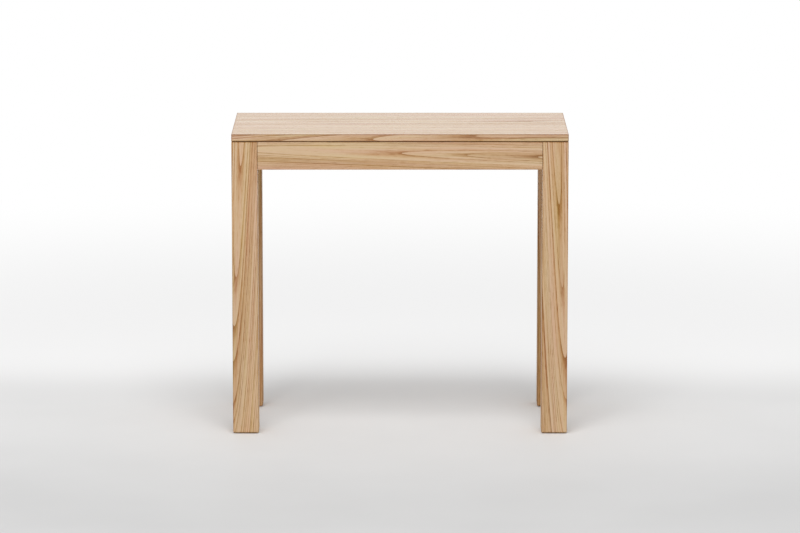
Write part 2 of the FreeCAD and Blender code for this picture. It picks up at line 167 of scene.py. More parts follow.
def growth_rings():
    """How far a point is through its ring, 0 to 1, and a tone of its own for each ring."""
    inputs = [("Board", "Vector"), ("Ring Width", "Float"), ("Bow", "Float"), ("Wander", "Float"),
              ("Seed", "Float")]
    tree, given, result = new_group("growth_rings", inputs, [("Ring", "Float"), ("Tone", "Float")])
    along, across, into = axes(tree, given["Board"])
    below = calc(tree, "MINIMUM", along, 0.0)
    sag = calc(tree, "MULTIPLY", calc(tree, "MULTIPLY", below, below), given["Bow"])
    spoke = add(tree, "CombineXYZ", {"Y": across, "Z": calc(tree, "ADD", into, sag)}).outputs["Vector"]
    bends = stretched_noise(tree, given["Board"], BENDS, given["Seed"], detail=1.0)
    bent = about_zero(tree, bends, given["Wander"])
    radius = calc(tree, "ADD", vector_calc(tree, "LENGTH", spoke), bent)
    count = calc(tree, "DIVIDE", radius, given["Ring Width"])
    age = calc(tree, "MULTIPLY_ADD", count, UNEVEN, given["Seed"])
    widths = add(tree, "TexNoise", {"W": age, "Scale": 1.0, "Detail": 1.0}, noise_dimensions="1D")
    count = calc(tree, "ADD", count, about_zero(tree, widths.outputs["Fac"], SHIFT))
    year = calc(tree, "ADD", calc(tree, "FLOOR", count), given["Seed"])
    tone = add(tree, "TexWhiteNoise", {"W": year}, noise_dimensions="1D").outputs["Value"]
    feed(tree, result, {"Ring": calc(tree, "FRACT", count), "Tone": tone})
    return tree


RINGS = growth_rings()
print("group", RINGS.name, "with", len(RINGS.nodes), "nodes")

# %% [markdown]
# ## Fibres and pores
#
# Between the rings, wood is made of fibres that run along the trunk, with open pores that look like short
# dark dashes. Noise that is stretched many times longer along the board than across it gives both. In oak
# the pores crowd along the dark line of each ring, so the group asks for that line and lowers the bar for
# a pore there. It also gives a slow drift of colour along the board, and long bands where the wood is pinker
# or yellower, richer or paler than its neighbour.

# %% Node group for fibres and pores
FIBRES = (2.5, 260.0, 260.0)   # per metre along, across and into the board
HAIRS = (9.0, 1100.0, 1100.0)  # finer fibres that only show close by
PORES = (45.0, 1500.0, 1500.0)
DRIFT = (2.0, 14.0, 14.0)
BANDS = (3.0, 75.0, 75.0)
BAND_SEEDS = {"Warm": 3.7, "Rich": 7.1}  # far enough apart for two patterns that don't follow each other
HAIR_SHARE = 0.5
PORE_EDGE = (0.60, 0.70)       # noise above this is an open pore
PORE_CROWD = 0.14              # what a dark line adds to that noise


def wood_fibres():
    """Masks of a board's fibres, pores, drift of colour, and bands."""
    inputs = [("Board", "Vector"), ("Line", "Float"), ("Seed", "Float")]
    outputs = [(name, "Float") for name in ("Streak", "Pore", "Drift", "Warm", "Rich")]
    tree, given, result = new_group("wood_fibres", inputs, outputs)
    board, seed = given["Board"], given["Seed"]
    hairs = about_zero(tree, stretched_noise(tree, board, HAIRS, seed, detail=1.0), HAIR_SHARE)
    streak = calc(tree, "ADD", stretched_noise(tree, board, FIBRES, seed), hairs)
    dashes = stretched_noise(tree, board, PORES, seed, detail=1.0)
    crowded = calc(tree, "MULTIPLY_ADD", given["Line"], PORE_CROWD, dashes)
    pore = fade(tree, crowded, *PORE_EDGE)
    drift = stretched_noise(tree, board, DRIFT, seed)
    feed(tree, result, {"Streak": streak, "Pore": pore, "Drift": drift})
    for band, step in BAND_SEEDS.items():
        own_seed = calc(tree, "ADD", seed, step)
        feed(tree, result, {band: stretched_noise(tree, board, BANDS, own_seed)})
    return tree


FIBRE = wood_fibres()
print("group", FIBRE.name, "with", len(FIBRE.nodes), "nodes")

# %% [markdown]
# ## Painted shade on the arrises
#
# Where two faces of a board meet, the colour is painted a little darker: painted shade of the edges that
# turn away from the light and of the shadow lines where boards meet. These thin lines make the edges look
# crisp.
# A third group finds them: it measures how far a point is from each side of the board's box, and the second
# smallest of the three distances is the way to the nearest corner line. A point on a face has a smallest
# distance of zero, which says nothing.

# %% Node group for painted shade on the arrises
def board_arris():
    """Mask of painted shade along the corner lines of a box, fading out over the reach."""
    inputs = [("Place", "Vector"), ("Low", "Vector"), ("High", "Vector"), ("Reach", "Float")]
    tree, given, result = new_group("board_arris", inputs, [("Edge Shade", "Float")])
    from_low = vector_calc(tree, "SUBTRACT", given["Place"], given["Low"])
    from_high = vector_calc(tree, "SUBTRACT", given["High"], given["Place"])
    x, y, z = axes(tree, vector_calc(tree, "MINIMUM", from_low, from_high))
    larger = calc(tree, "MINIMUM", calc(tree, "MAXIMUM", x, y), z)
    second = calc(tree, "MAXIMUM", calc(tree, "MINIMUM", x, y), larger)
    feed(tree, result, {"Edge Shade": fade(tree, second, 0.0, given["Reach"], 1.0, 0.0)})
    return tree


EDGE_SHADE = board_arris()
EDGE_SHADE_REACH = 0.0032           # metres from the corner line to where the painted shade ends


def arris_of(tree, node):
    """Mask of painted shade on one board's corner lines."""
    low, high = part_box(node)
    place = add(tree, "TexCoord").outputs["Object"]
    sockets = {"Place": place, "Low": low, "High": high, "Reach": EDGE_SHADE_REACH}
    return add(tree, "Group", sockets, node_tree=EDGE_SHADE).outputs["Edge Shade"]


print("group", EDGE_SHADE.name, "with", len(EDGE_SHADE.nodes), "nodes")

# %% [markdown]
# ## A board in its trunk
#
# A wooden finish needs to know which way the grain runs and where in the trunk the board was sawn. The heart
# of the trunk is a straight line that leans a little against the board: where it comes nearer to the face,
# the rings open into arches. Grain, heart and lean together are called the cut. Some boards wear thin strips
# of other wood on their edges, with cuts of their own. The direction of a face says which cut it shows.

# %% Coordinates in the trunk
GRAIN = {"x": "XYZ", "y": "YXZ", "z": "ZXY", "x_upright": "XZY", "y_upright": "YZX"}
FACING = 0.7                   # how squarely a face looks along an axis to count as an edge
FACTOR, FIRST, SECOND, MIXED = 0, 4, 5, 1  # a Mix node's sockets for vectors, which share their names


def board_place(tree, grain, heart, lean):
    """Coordinates counted along the board and around the heart of its trunk, in metres."""
    place = axes(tree, add(tree, "TexCoord").outputs["Object"])
    order = {axis: place[source] for axis, source in zip("XYZ", GRAIN[grain])}
    board = add(tree, "CombineXYZ", order).outputs["Vector"]
    turn = (0.0, -math.atan(lean[1]), math.atan(lean[0]))
    sockets = {"Vector": board, "Location": heart, "Rotation": turn}
    return add(tree, "Mapping", sockets, vector_type="TEXTURE").outputs["Vector"]


def with_lippings(tree, board, lippings):
    """Let strips of other wood take over on the faces that look one way. Also returns their mask."""
    face = axes(tree, add(tree, "TexCoord").outputs["Normal"])
    strips = 0.0
    for (axis, sign), cut in lippings.items():
        mask = calc(tree, "GREATER_THAN", calc(tree, "MULTIPLY", face[axis], sign), FACING)
        sockets = {FACTOR: mask, FIRST: board, SECOND: board_place(tree, *cut)}
        board = add(tree, "Mix", sockets, data_type="VECTOR").outputs[MIXED]
        strips = calc(tree, "ADD", strips, mask)
    return board, strips


print("ways for the grain to run:", ", ".join(GRAIN))

# %% [markdown]
# ## A wood finish
#
# Each influence adds to one value, the depth of colour, and a colour ramp turns that value into a tint, so
# that dark lines are also warmer, as in real oak. Painting each influence in a colour of its own would need
# many more tints that have to suit each other. The bands then turn the hue and the richness a little. Deep
# tones are open wood and get a rougher surface, and fibres and pores give a shallow relief.

# %% Materials and tints
def new_material(name):
    """A new material, its node tree and its shader."""
    material = bpy.data.materials.new(name)
    material.use_nodes = True
    return material, material.node_tree, material.node_tree.nodes["Principled BSDF"]


def tint_ramp(tree, value, tints):
    """Colour ramp with evenly spaced tints."""
    ramp = add(tree, "ValToRGB", {"Fac": value})
    stops = ramp.color_ramp.elements
    while len(stops) < len(tints):
        stops.new(0.5)
    for i, tint in enumerate(tints):
        stops[i].position = i / (len(tints) - 1)
        stops[i].color = (*tint, 1.0)
    return ramp.outputs["Color"]


print("helpers for materials ready")

# %% Wood finish
HUE_AS_IS = 0.5                # a Hue socket leaves the colour alone at one half
SATIN_RANGE = 0.16             # how much rougher the deepest tone is than the palest
WOOD_RELIEF = {"Strength": 0.25, "Distance": 0.0002}


def growth(rings, wander, seed, bow=0.0):
    """How a trunk grew: width and wander of its rings in metres, its own seed and how fast it bends."""
    return {"Ring Width": rings, "Bow": bow, "Wander": wander, "Seed": seed}


def wood(name, cut, trunk, tints, depth, board_of=None, lippings=None):
    """A wooden finish; depth says how much each influence deepens or turns the colour."""
    material, tree, shader = new_material(name)
    board, ground = board_place(tree, *cut), depth["ground"]
    if lippings:
        board, strips = with_lippings(tree, board, lippings)
        ground = calc(tree, "MULTIPLY_ADD", strips, depth["lipping"], ground)
    ring = add(tree, "Group", {"Board": board} | trunk, node_tree=RINGS).outputs
    line = calc(tree, "POWER", calc(tree, "SUBTRACT", 1.0, ring["Ring"]), depth["fade"])
    sockets = {"Board": board, "Line": line, "Seed": trunk["Seed"]}
    fibre = add(tree, "Group", sockets, node_tree=FIBRE).outputs
    colour = calc(tree, "MULTIPLY_ADD", line, depth["line"], ground)
    for swing, share in ((ring["Tone"], "year"), (fibre["Streak"], "streak"), (fibre["Drift"], "drift")):
        colour = calc(tree, "ADD", colour, about_zero(tree, swing, depth[share]))
    colour = calc(tree, "MULTIPLY_ADD", fibre["Pore"], depth["pore"], colour)
    # painted shade darkens the board's corner lines
    if board_of:
        colour = calc(tree, "MULTIPLY_ADD", arris_of(tree, board_of), depth["arris"], colour)
    hue = calc(tree, "ADD", HUE_AS_IS, about_zero(tree, fibre["Warm"], depth["warm"]))
    richness = calc(tree, "ADD", depth["full"], about_zero(tree, fibre["Rich"], depth["rich"]))
    paint = {"Hue": hue, "Saturation": richness, "Color": tint_ramp(tree, colour, tints)}
    relief = calc(tree, "MULTIPLY_ADD", fibre["Pore"], -1.0, fibre["Streak"])
    satin = depth["satin"]
    feed(tree, shader, {
        "Base Color": add(tree, "HueSaturation", paint).outputs["Color"],
        "Roughness": fade(tree, colour, 0.0, 1.0, satin, satin + SATIN_RANGE, "LINEAR"),
        "Normal": add(tree, "Bump", WOOD_RELIEF | {"Height": relief}).outputs["Normal"],
        "Specular IOR Level": depth["mirror"],
    })
    return material


print("wood finish ready")

# %% [markdown]
# ## Oak
#
# The table's oak is pale and golden. Its four tints go from the plain wood to the darkest line, and the
# shares say how far each influence moves along them. They were set by comparing renders with the photograph.
# Other boards start from the same shares and change the few that differ.

# %% Tints and shares of oak
OAK_TINTS = [(0.645, 0.455, 0.287), (0.548, 0.348, 0.185), (0.442, 0.240, 0.100), (0.285, 0.126, 0.037)]
OAK_DEPTH = {
    "ground": 0.00,            # depth of the plain wood
    "line": 0.66,              # what the dark line of a ring adds
    "fade": 2.8,               # how fast that line fades out through the ring
    "year": 0.36,              # swing from ring to ring
    "streak": 1.00,            # swing of the fibres
    "drift": 0.30,             # slow swing along the board
    "pore": 0.40,              # what a pore adds
    "arris": 0.45,             # what painted shade on a corner line adds
    "full": 1.04,              # richness of the colour
    "rich": 0.30,              # swing of the richness
    "warm": 0.055,             # swing of the hue
    "satin": 0.46,             # roughness of the palest tone
    "mirror": 0.35,            # strength of reflections
}


def dress(names, material):
    """Give CAD pieces a finish."""
    for name in names:
        mesh = nodes[name].data
        mesh.materials.clear()
        mesh.materials.append(material)
    print(material.name, "on", len(names), "pieces")


print("tints of oak:", len(OAK_TINTS))

# %% [markdown]
# ## Four oak legs
#
# Each leg is sawn from its own place in the trunk. On the two front legs the arches lie near the outer edge
# and point down, and the stripes towards the inner edge run almost straight. The heart of the trunk lies in
# front of the face, about 34 mm away, and comes closer towards the top, which is what opens the arches
# upwards. Below the arches the trunk bends away, and its rings run out over the outer edge. The rear legs
# have straight grain, and their colour is painted deeper: painted shade of the shadow under the top.

# %% Legs
def heart_of(node, height, across, ahead):
    """Heart of a leg's trunk at one height, across from the leg's middle and ahead of its front face."""
    low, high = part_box(node)
    return (height, (low.x + high.x) / 2 + across, low.y - ahead)


LEG_RINGS = 0.0034             # metres from ring to ring
LEG_WANDER = 0.003             # metres by which a ring leaves its circle
LEG_BOW = 0.05                 # how fast the trunk bends away from the face, per metre
LEG_CUTS = {                   # the heart's height, place across and ahead; its lean; the trunk's seed
    "front_left_leg": ((0.436, -0.0207, 0.0337), (0.045, 0.0115), 3.1),
    "front_right_leg": ((0.352, 0.0200, 0.0337), (-0.045, 0.0115), 8.4),
    "rear_left_leg": ((0.900, -0.070, 0.060), (0.012, 0.008), 12.7),
    "rear_right_leg": ((0.900, 0.064, 0.054), (-0.014, 0.008), 17.2),
}
# painted shade: the rear legs get a deeper colour for the shadow under the top
SHADED_REAR_DEPTH = OAK_DEPTH | {"ground": 0.35}
for leg, (heart, lean, seed) in LEG_CUTS.items():
    bow, depth = (LEG_BOW, OAK_DEPTH) if leg.startswith("front") else (0.0, SHADED_REAR_DEPTH)
    cut = ("z", heart_of(leg, *heart), lean)
    trunk = growth(LEG_RINGS, LEG_WANDER, seed, bow)
    dress([leg], wood("oak_" + leg, cut, trunk, OAK_TINTS, depth, board_of=leg))

# %% [markdown]
# ## Aprons
#
# The apron is the board between two legs. Its grain runs sideways, and on the front one a flat arch opens
# towards the right from its middle. The heart lies 34 mm ahead of the face. The rear apron
# is painted a shade deeper, the same painted shade as the legs beside it.

# %% Aprons
APRON_RINGS = 0.0024
APRON_WANDER = 0.004
# the apron's corner lines get weaker painted shade than the legs
APRON_DEPTH = OAK_DEPTH | {"ground": 0.06, "arris": 0.12, "full": 1.0}
# painted shade carried on to the rear apron, to match the rear legs
SHADED_REAR_APRON_DEPTH = APRON_DEPTH | {"ground": 0.28}
front_low, front_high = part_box("front_apron")
rear_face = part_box("rear_apron")[1].y
apron_middle = (front_low.z + front_high.z) / 2
front_heart = (-0.104, apron_middle + 0.010, front_low.y - 0.034)
rear_heart = (0.120, apron_middle - 0.006, rear_face + 0.036)
APRON_CUTS = {
    "front_apron": (front_heart, (-0.028, 0.0100), 21.5, APRON_DEPTH),
    "rear_apron": (rear_heart, (0.020, -0.0085), 27.9, SHADED_REAR_APRON_DEPTH),
}
for apron, (heart, lean, seed, depth) in APRON_CUTS.items():
    trunk = growth(APRON_RINGS, APRON_WANDER, seed)
    cut = ("x_upright", heart, lean)
    dress([apron], wood("oak_" + apron, cut, trunk, OAK_TINTS, depth, board_of=apron))

# %% [markdown]
# ## The top
#
# The top is the largest board. Seen from a low angle it looks much paler than the legs, although it is the
# same oak: at a flat angle the lacquer mirrors the bright room. The shader does that by itself, so the
# tints stay the same. The heart lies below the board, which gives long stripes along it. The edges of the
# board are covered by thin lippings, strips of another piece of oak whose arches run out in dark slants.

# %% Top panel
TOP_TRUNK = growth(rings=0.0042, wander=0.016, seed=33.3)
TOP_DEPTH = OAK_DEPTH | {
    # the top's corner lines get the strongest painted shade, along the shadow line under it
    "ground": 0.06, "arris": 0.90, "full": 1.0, "warm": 0.075, "satin": 0.20, "mirror": 0.5,
    "lipping": 0.18,           # what a strip on the edge adds
}
top_low, top_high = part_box("top_panel")
top_cut = ("x", (0.0, 0.03, top_high.z - 0.100), (0.02, 0.01))
edge_middle = (top_low.z + top_high.z) / 2
LIPPINGS = {
    ("Y", -1.0): ("x_upright", (0.16, edge_middle + 0.004, top_low.y - 0.020), (0.030, 0.022)),
    ("Y", 1.0): ("x_upright", (-0.12, edge_middle - 0.003, top_high.y + 0.020), (0.026, -0.022)),
    ("X", -1.0): ("y_upright", (0.05, edge_middle - 0.003, top_low.x - 0.022), (0.030, 0.024)),
    ("X", 1.0): ("y_upright", (-0.04, edge_middle + 0.004, top_high.x + 0.022), (0.028, -0.024)),
}
oak_top = wood("oak_top", top_cut, TOP_TRUNK, OAK_TINTS, TOP_DEPTH, board_of="top_panel", lippings=LIPPINGS)
dress(["top_panel"], oak_top)

# %% [markdown]
# ## Beech for the hidden woodwork
#
# Bearers, the batten and the dowels are plain beech, a paler and pinker wood with hardly any lines but with
# many small flecks. The same groups for rings and fibres make it: weak rings and stronger pores.

# %% Bearers, batten and dowels
BEECH_TINTS = [(0.70, 0.50, 0.33), (0.62, 0.41, 0.25), (0.53, 0.32, 0.18), (0.36, 0.19, 0.09)]
BEECH_DEPTH = {
    "ground": 0.18, "line": 0.15, "fade": 1.5, "year": 0.12, "streak": 0.25, "drift": 0.25, "pore": 0.45,
    "full": 1.0, "warm": 0.02, "rich": 0.20, "satin": 0.58, "mirror": 0.4,
}
BEECH_LEAN = (0.01, 0.01)
bearers = [name for name in nodes if name.endswith("_bearer")]
dowels = ["front_dowels", "rear_dowels"]
BEECH_CUTS = {
    "beech_bearers": (bearers, "y", (0.0, 0.08, 0.55), growth(0.0026, 0.008, 41.0)),
    "beech_batten": (["cross_batten"], "x", (0.0, -0.11, 0.60), growth(0.0026, 0.008, 46.0)),
    "beech_dowels": (dowels, "x", (0.0, 0.05, 0.60), growth(0.0022, 0.005, 52.0)),
}
for name, (pieces, grain, heart, trunk) in BEECH_CUTS.items():
    dress(pieces, wood(name, (grain, heart, BEECH_LEAN), trunk, BEECH_TINTS, BEECH_DEPTH))

# %% [markdown]
# ## Fine unevenness for metal and plastic
#
# No moulded or plated surface is quite even: it has a fine grit that scatters the light and slow clouds in
# its gloss. One group gives both as masks, so that metal, nylon, felt, rubber and plastic can share it.

# %% Node group for grit and clouds
CLOUDS = (38.0, 21.0, 38.0)    # per metre along each axis
SHADES = (0.3, 0.7)            # nearly all of the mixed noise lies between these values
GRIT_RELIEF = 0.5              # strength of the bump


def surface_grit():
    """Masks of a surface's fine grit and slow clouds."""
    inputs = [("Place", "Vector"), ("Grains", "Vector"), ("Seed", "Float")]
    tree, given, result = new_group("surface_grit", inputs, [("Grit", "Float"), ("Cloud", "Float")])
    grit = stretched_noise(tree, given["Place"], given["Grains"], given["Seed"])
    cloud = stretched_noise(tree, given["Place"], CLOUDS, given["Seed"])
    feed(tree, result, {"Grit": grit, "Cloud": cloud})
    return tree


GRIT = surface_grit()


def fine_finish(name, grains, seed, tints, gloss, relief, **plain):
    """A metal or plastic: tints from dark to pale, a range of roughness, a relief in metres."""
    material, tree, shader = new_material(name)
    place = add(tree, "TexCoord").outputs["Object"]
    noise = add(tree, "Group", {"Place": place, "Grains": grains, "Seed": seed}, node_tree=GRIT).outputs
    shade = calc(tree, "DIVIDE", calc(tree, "ADD", noise["Grit"], noise["Cloud"]), 2.0)
    bump = add(tree, "Bump", {"Strength": GRIT_RELIEF, "Distance": relief, "Height": noise["Grit"]})
    feed(tree, shader, {
        "Base Color": tint_ramp(tree, shade, tints),
        "Roughness": fade(tree, shade, *SHADES, *gloss, "LINEAR"),
        "Normal": bump.outputs["Normal"],
    })
    feed(tree, shader, {socket.replace("_", " "): value for socket, value in plain.items()})
    return material


print("group", GRIT.name, "with", len(GRIT.nodes), "nodes")

# %% [markdown]
# ## Aluminium rails and nylon sliders
#
# The rails are pushed through a die, which leaves fine lines along them: noise that is hundreds of times
# finer across the rail than along it. The sliders are natural nylon, ivory white and a little waxy.

# %% Telescopes
rails = [f"{side}_rail_{k}" for side in ("left", "right") for k in range(1, 8)]
aluminium = fine_finish("mill_aluminium", grains=(700.0, 2.5, 700.0), seed=61.0,
                        tints=[(0.34, 0.345, 0.35), (0.60, 0.605, 0.61)],
                        gloss=(0.40, 0.56), relief=0.00004, Metallic=1.0)
dress(rails, aluminium)
nylon = fine_finish("natural_nylon", grains=(900.0, 900.0, 900.0), seed=66.0,
                    tints=[(0.68, 0.66, 0.58), (0.86, 0.85, 0.79)],
                    gloss=(0.38, 0.52), relief=0.00005, Subsurface_Weight=0.15)
dress([rail + "_sliders" for rail in rails], nylon)

# %% [markdown]
# ## Zinc, felt, rubber and plastic
#
# Screws, cams and brackets are zinc plated. Black felt lies in the shadow line under the top, two rubber
# bumpers stop the closing table, and hard dark glides keep the legs off the floor.

# %% Fastenings and small parts
zinc = fine_finish("zinc_plate", grains=(350.0, 350.0, 350.0), seed=71.0,
                   tints=[(0.40, 0.42, 0.45), (0.66, 0.67, 0.68)],
                   gloss=(0.30, 0.48), relief=0.00003, Metallic=1.0)
fixings = [name for name in nodes if name.endswith(("_cam_bolts", "_cam_locks"))]
dress(fixings + ["corner_brackets"], zinc)
felt = fine_finish("pressed_felt", grains=(1600.0, 1600.0, 1600.0), seed=76.0,
                   tints=[(0.008, 0.008, 0.008), (0.035, 0.034, 0.033)],
                   gloss=(0.90, 1.0), relief=0.0004, Sheen_Weight=0.4)
dress(["top_spacers", "top_glide_pads"], felt)
rubber = fine_finish("moulded_rubber", grains=(800.0, 800.0, 800.0), seed=81.0,
                     tints=[(0.012, 0.012, 0.012), (0.032, 0.031, 0.030)],
                     gloss=(0.62, 0.80), relief=0.0001)
dress(["closing_bumpers"], rubber)
plastic = fine_finish("dark_plastic", grains=(700.0, 700.0, 700.0), seed=86.0,
                      tints=[(0.030, 0.026, 0.022), (0.062, 0.055, 0.047)],
                      gloss=(0.45, 0.60), relief=0.00006)
dress(["front_leg_glides", "rear_leg_glides"], plastic)

# %% [markdown]
# ## Screws
#
# The CAD screws are plain turned shapes. Real ones have a cross recess for the screwdriver, and when the
# table is pulled out, the heads on rails and brackets show it. Writing down the places of all screws again
# would be long and could go wrong. The CAD meshes know them: every island of a mesh is one screw, its
# longest side gives the axis, and the wide end is the head.

# %% Islands of a mesh
import bmesh
from mathutils import Matrix, Vector

WELD = 0.00001                 # metres; points closer than this are one point


def islands(mesh):
    """Points of each separate solid in a mesh."""
    work = bmesh.new()
    work.from_mesh(mesh)
    bmesh.ops.remove_doubles(work, verts=work.verts, dist=WELD)
    solids, seen = [], set()
    for start in work.verts:
        if start in seen:
            continue
        seen.add(start)
        reached = [start]
        for vert in reached:
            near = [edge.other_vert(vert) for edge in vert.link_edges]
            fresh = [other for other in near if other not in seen]
            seen.update(fresh)
            reached.extend(fresh)
        solids.append([vert.co.copy() for vert in reached])
    work.free()
    return solids


print("islands in the first set of screws:", len(islands(nodes["bracket_screws"].data)))

# %% Find the screws
RIM = 0.95                     # share of the largest radius where the rim of the head begins


def screw_place(points):
    """Where a screw sits, as a matrix that puts its head at the origin and its tip along Z, and its size."""
    low, high = [Vector(pick(values) for values in zip(*points)) for pick in (min, max)]
    middle, size = (low + high) / 2, high - low
    axis = max(range(3), key=lambda i: size[i])
    flat = Vector(0.0 if i == axis else 1.0 for i in range(3))
    radii = [((point - middle) * flat).length for point in points]
    rim = [point[axis] for point, radius in zip(points, radii) if radius > RIM * max(radii)]
    head_is_low = sum(rim) / len(rim) < middle[axis]
    place, way = middle.copy(), Vector()
    place[axis] = low[axis] if head_is_low else high[axis]
    way[axis] = 1.0 if head_is_low else -1.0
    turn = way.to_track_quat("Z", "Y").to_matrix().to_4x4()
    return Matrix.Translation(place) @ turn, size[axis], max(radii)


SCREWS = {
    "bracket_screws": ("rear_frame", "round"),
    "moving_rail_screws": ("rear_frame", "countersunk"),
    "fixed_rail_screws": ("front_frame", "countersunk"),
    "bearer_screws": ("front_frame", "countersunk"),
    "top_screws": ("front_frame", "round"),
}
screw_places = {name: [screw_place(points) for points in islands(nodes[name].data)] for name in SCREWS}
for name, places in screw_places.items():
    print(name, len(places), "screws of", round(places[0][1] * 1000, 1), "mm")

# %% [markdown]
# A screw is turned on a lathe, so a half section that is spun about its axis gives its blank. The section of
# a round head is a low dome, and that of a countersunk one is a flat disc and a cone.

# %% Turn a screw
HEAD_HEIGHT = 0.5              # this and the next two values are shares of the head's radius
SHANK = 0.5
DOME = 0.38
DOME_STEPS = 6                 # edges of the section from the middle of a round head to its rim
TIP = 2                        # length of the tip in shank radii
SPIN_STEPS = 24
SEAM = 0.000001                # metres; the spin's first and last points are joined


def show(name, data):
    """Put a new object into the scene."""
    piece = bpy.data.objects.new(name, data)
    bpy.context.collection.objects.link(piece)
    return piece


def show_mesh(name, work):
    """Turn a bmesh into an object in the scene."""
    mesh = bpy.data.meshes.new(name)
    bmesh.ops.recalc_face_normals(work, faces=work.faces)
    work.to_mesh(mesh)
    work.free()
    return show(name, mesh)


def turned_screw(style, length, radius):
    """Blank of a screw with its head at the origin."""
    shank, height = SHANK * radius, HEAD_HEIGHT * radius
    if style == "round":
        angles = [math.radians(90 / DOME_STEPS * i) for i in range(DOME_STEPS + 1)]
        section = [(radius * math.sin(a), DOME * radius * (1 - math.cos(a))) for a in angles]
        section.append((radius, height))
    else:
        section = [(0.0, 0.0), (radius, 0.0)]
    section += [(shank, height), (shank, length - TIP * shank), (0.0, length)]
    work = bmesh.new()
    verts = [work.verts.new((r, 0.0, z)) for r, z in section]
    edges = [work.edges.new(pair) for pair in zip(verts, verts[1:])]
    bmesh.ops.spin(work, geom=verts + edges, cent=(0, 0, 0), axis=(0, 0, 1),
                   angle=math.tau, steps=SPIN_STEPS)
    bmesh.ops.remove_doubles(work, verts=work.verts, dist=SEAM)
    return show_mesh("screw_blank", work)


print("a screw has", SPIN_STEPS, "sides")

# %% [markdown]
# The recess is a tapered cross. Cutting it by hand into a round head would take many odd faces, so a Boolean
# modifier does it once for each kind of screw and the result is copied. Each set of copies replaces its CAD
# node and rides on the same body.

# %% Cut the cross
CROSS_ARM = 0.66               # this and the next two values are shares of the head's radius
CROSS_WIDTH = 0.16
CROSS_DEPTH = 0.38
CROSS_TAPER = 0.6              # size of the deep end of the cross beside its outer end


def lofted(name, rings):
    """A closed form through rings of corners, with a face at each end."""
    work = bmesh.new()
    loops = [[work.verts.new(corner) for corner in ring] for ring in rings]
    work.faces.new(loops[0])
    work.faces.new(loops[-1])
    for lower, upper in zip(loops, loops[1:]):
        for i in range(len(lower)):
            work.faces.new((lower[i - 1], lower[i], upper[i], upper[i - 1]))
    return show_mesh(name, work)


def cross_cutter(radius):
    """A cross that narrows into the head and stands out of it."""
    arm, half, depth = CROSS_ARM * radius, CROSS_WIDTH * radius, CROSS_DEPTH * radius
    corners = []
    for x, y in ((0, 1), (1, 0), (0, -1), (-1, 0)):
        for along, across in ((arm, -half), (arm, half), (half, half)):
            corners.append((x * along + y * across, y * along - x * across))
    ends = ((1.0, -depth), (CROSS_TAPER, depth))
    return lofted("cross_cutter", [[(x * scale, y * scale, z) for x, y in corners] for scale, z in ends])


def carved(blank, cutter, way):
    """Mesh that a Boolean makes of a blank and a cutter, which are then removed."""
    cut = blank.modifiers.new("cut", "BOOLEAN")
    cut.operation = way
    cut.object = cutter
    seen = blank.evaluated_get(bpy.context.evaluated_depsgraph_get())
    mesh = bpy.data.meshes.new_from_object(seen)
    for helper in (blank, cutter):
        bpy.data.objects.remove(helper)
    return mesh


print("the cross is", CROSS_ARM, "of the head across")

# %% Place the screws
SLIVER = 0.000005              # metres; the Boolean's edges below this length are closed up
SCREW_CREASE = math.radians(35)

for name, (body, style) in SCREWS.items():
    length, radius = screw_places[name][0][1:]
    one = carved(turned_screw(style, length, radius), cross_cutter(radius), "DIFFERENCE")
    work = bmesh.new()
    for place, _, _ in screw_places[name]:
        copy = one.copy()
        copy.transform(place)
        work.from_mesh(copy)
        bpy.data.meshes.remove(copy)
    bmesh.ops.dissolve_degenerate(work, edges=work.edges, dist=SLIVER)
    screws = show_mesh("cross_" + name, work)
    screws.data.shade_smooth()
    screws.data.set_sharp_from_angle(angle=SCREW_CREASE)
    screws.data.materials.append(zinc)
    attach(screws, body)
    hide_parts(name)
    print(screws.name, len(screws.data.polygons), "faces")

# %% [markdown]
# ## Feet
#
# The lower edges of a leg are planed round, so that they don't splinter when the table is pushed over
# a floor. A bevel of the mesh would fold over the thin faces of the leg's own corners. A Boolean is cleaner:
# its cutter is a block that is wider than the leg but narrows to the floor in two slopes, and what the leg
# and the cutter share is the leg with an eased foot. Large faces beside small ones shade unevenly, so the
# normals are weighted.

# %% Ease the feet
EASE = 0.003                   # metres, the radius of the round that the two slopes follow
ROOM = 0.002                   # metres by which the cutter stands out elsewhere
KNEE = EASE * (1 - math.cos(math.radians(45)))  # the slopes meet this far from both faces
SLOPE = math.tan(math.radians(67.5))  # rate at which the slopes run on outside the leg
FOOT_CREASE = math.radians(50)


def foot_cutter(leg):
    """A block round a leg, narrower at the floor."""
    low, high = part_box(leg)
    steps = [(low.z - ROOM, -EASE - SLOPE * ROOM), (low.z + KNEE, -KNEE),
             (low.z + EASE + SLOPE * ROOM, ROOM), (high.z + ROOM, ROOM)]
    rings = []
    for height, out in steps:
        left, right, front, back = low.x - out, high.x + out, low.y - out, high.y + out
        corners = ((left, front), (right, front), (right, back), (left, back))
        rings.append([(x, y, height) for x, y in corners])
    return lofted("foot_cutter", rings)


for leg in LEG_CUTS:
    body = "front_frame" if leg.startswith("front") else "rear_frame"
    work = bmesh.new()
    work.from_mesh(nodes[leg].data)
    bmesh.ops.remove_doubles(work, verts=work.verts, dist=SLIVER)
    mesh = carved(show_mesh("leg_blank", work), foot_cutter(leg), "INTERSECT")
    mesh.shade_smooth()
    mesh.set_sharp_from_angle(angle=FOOT_CREASE)
    mesh.materials.clear()
    mesh.materials.append(nodes[leg].data.materials[0])
    eased = show("eased_" + leg, mesh)
    eased.modifiers.new("even_shading", "WEIGHTED_NORMAL").keep_sharp = True
    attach(eased, body)
    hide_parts(leg)
    print(eased.name, len(mesh.polygons), "faces")
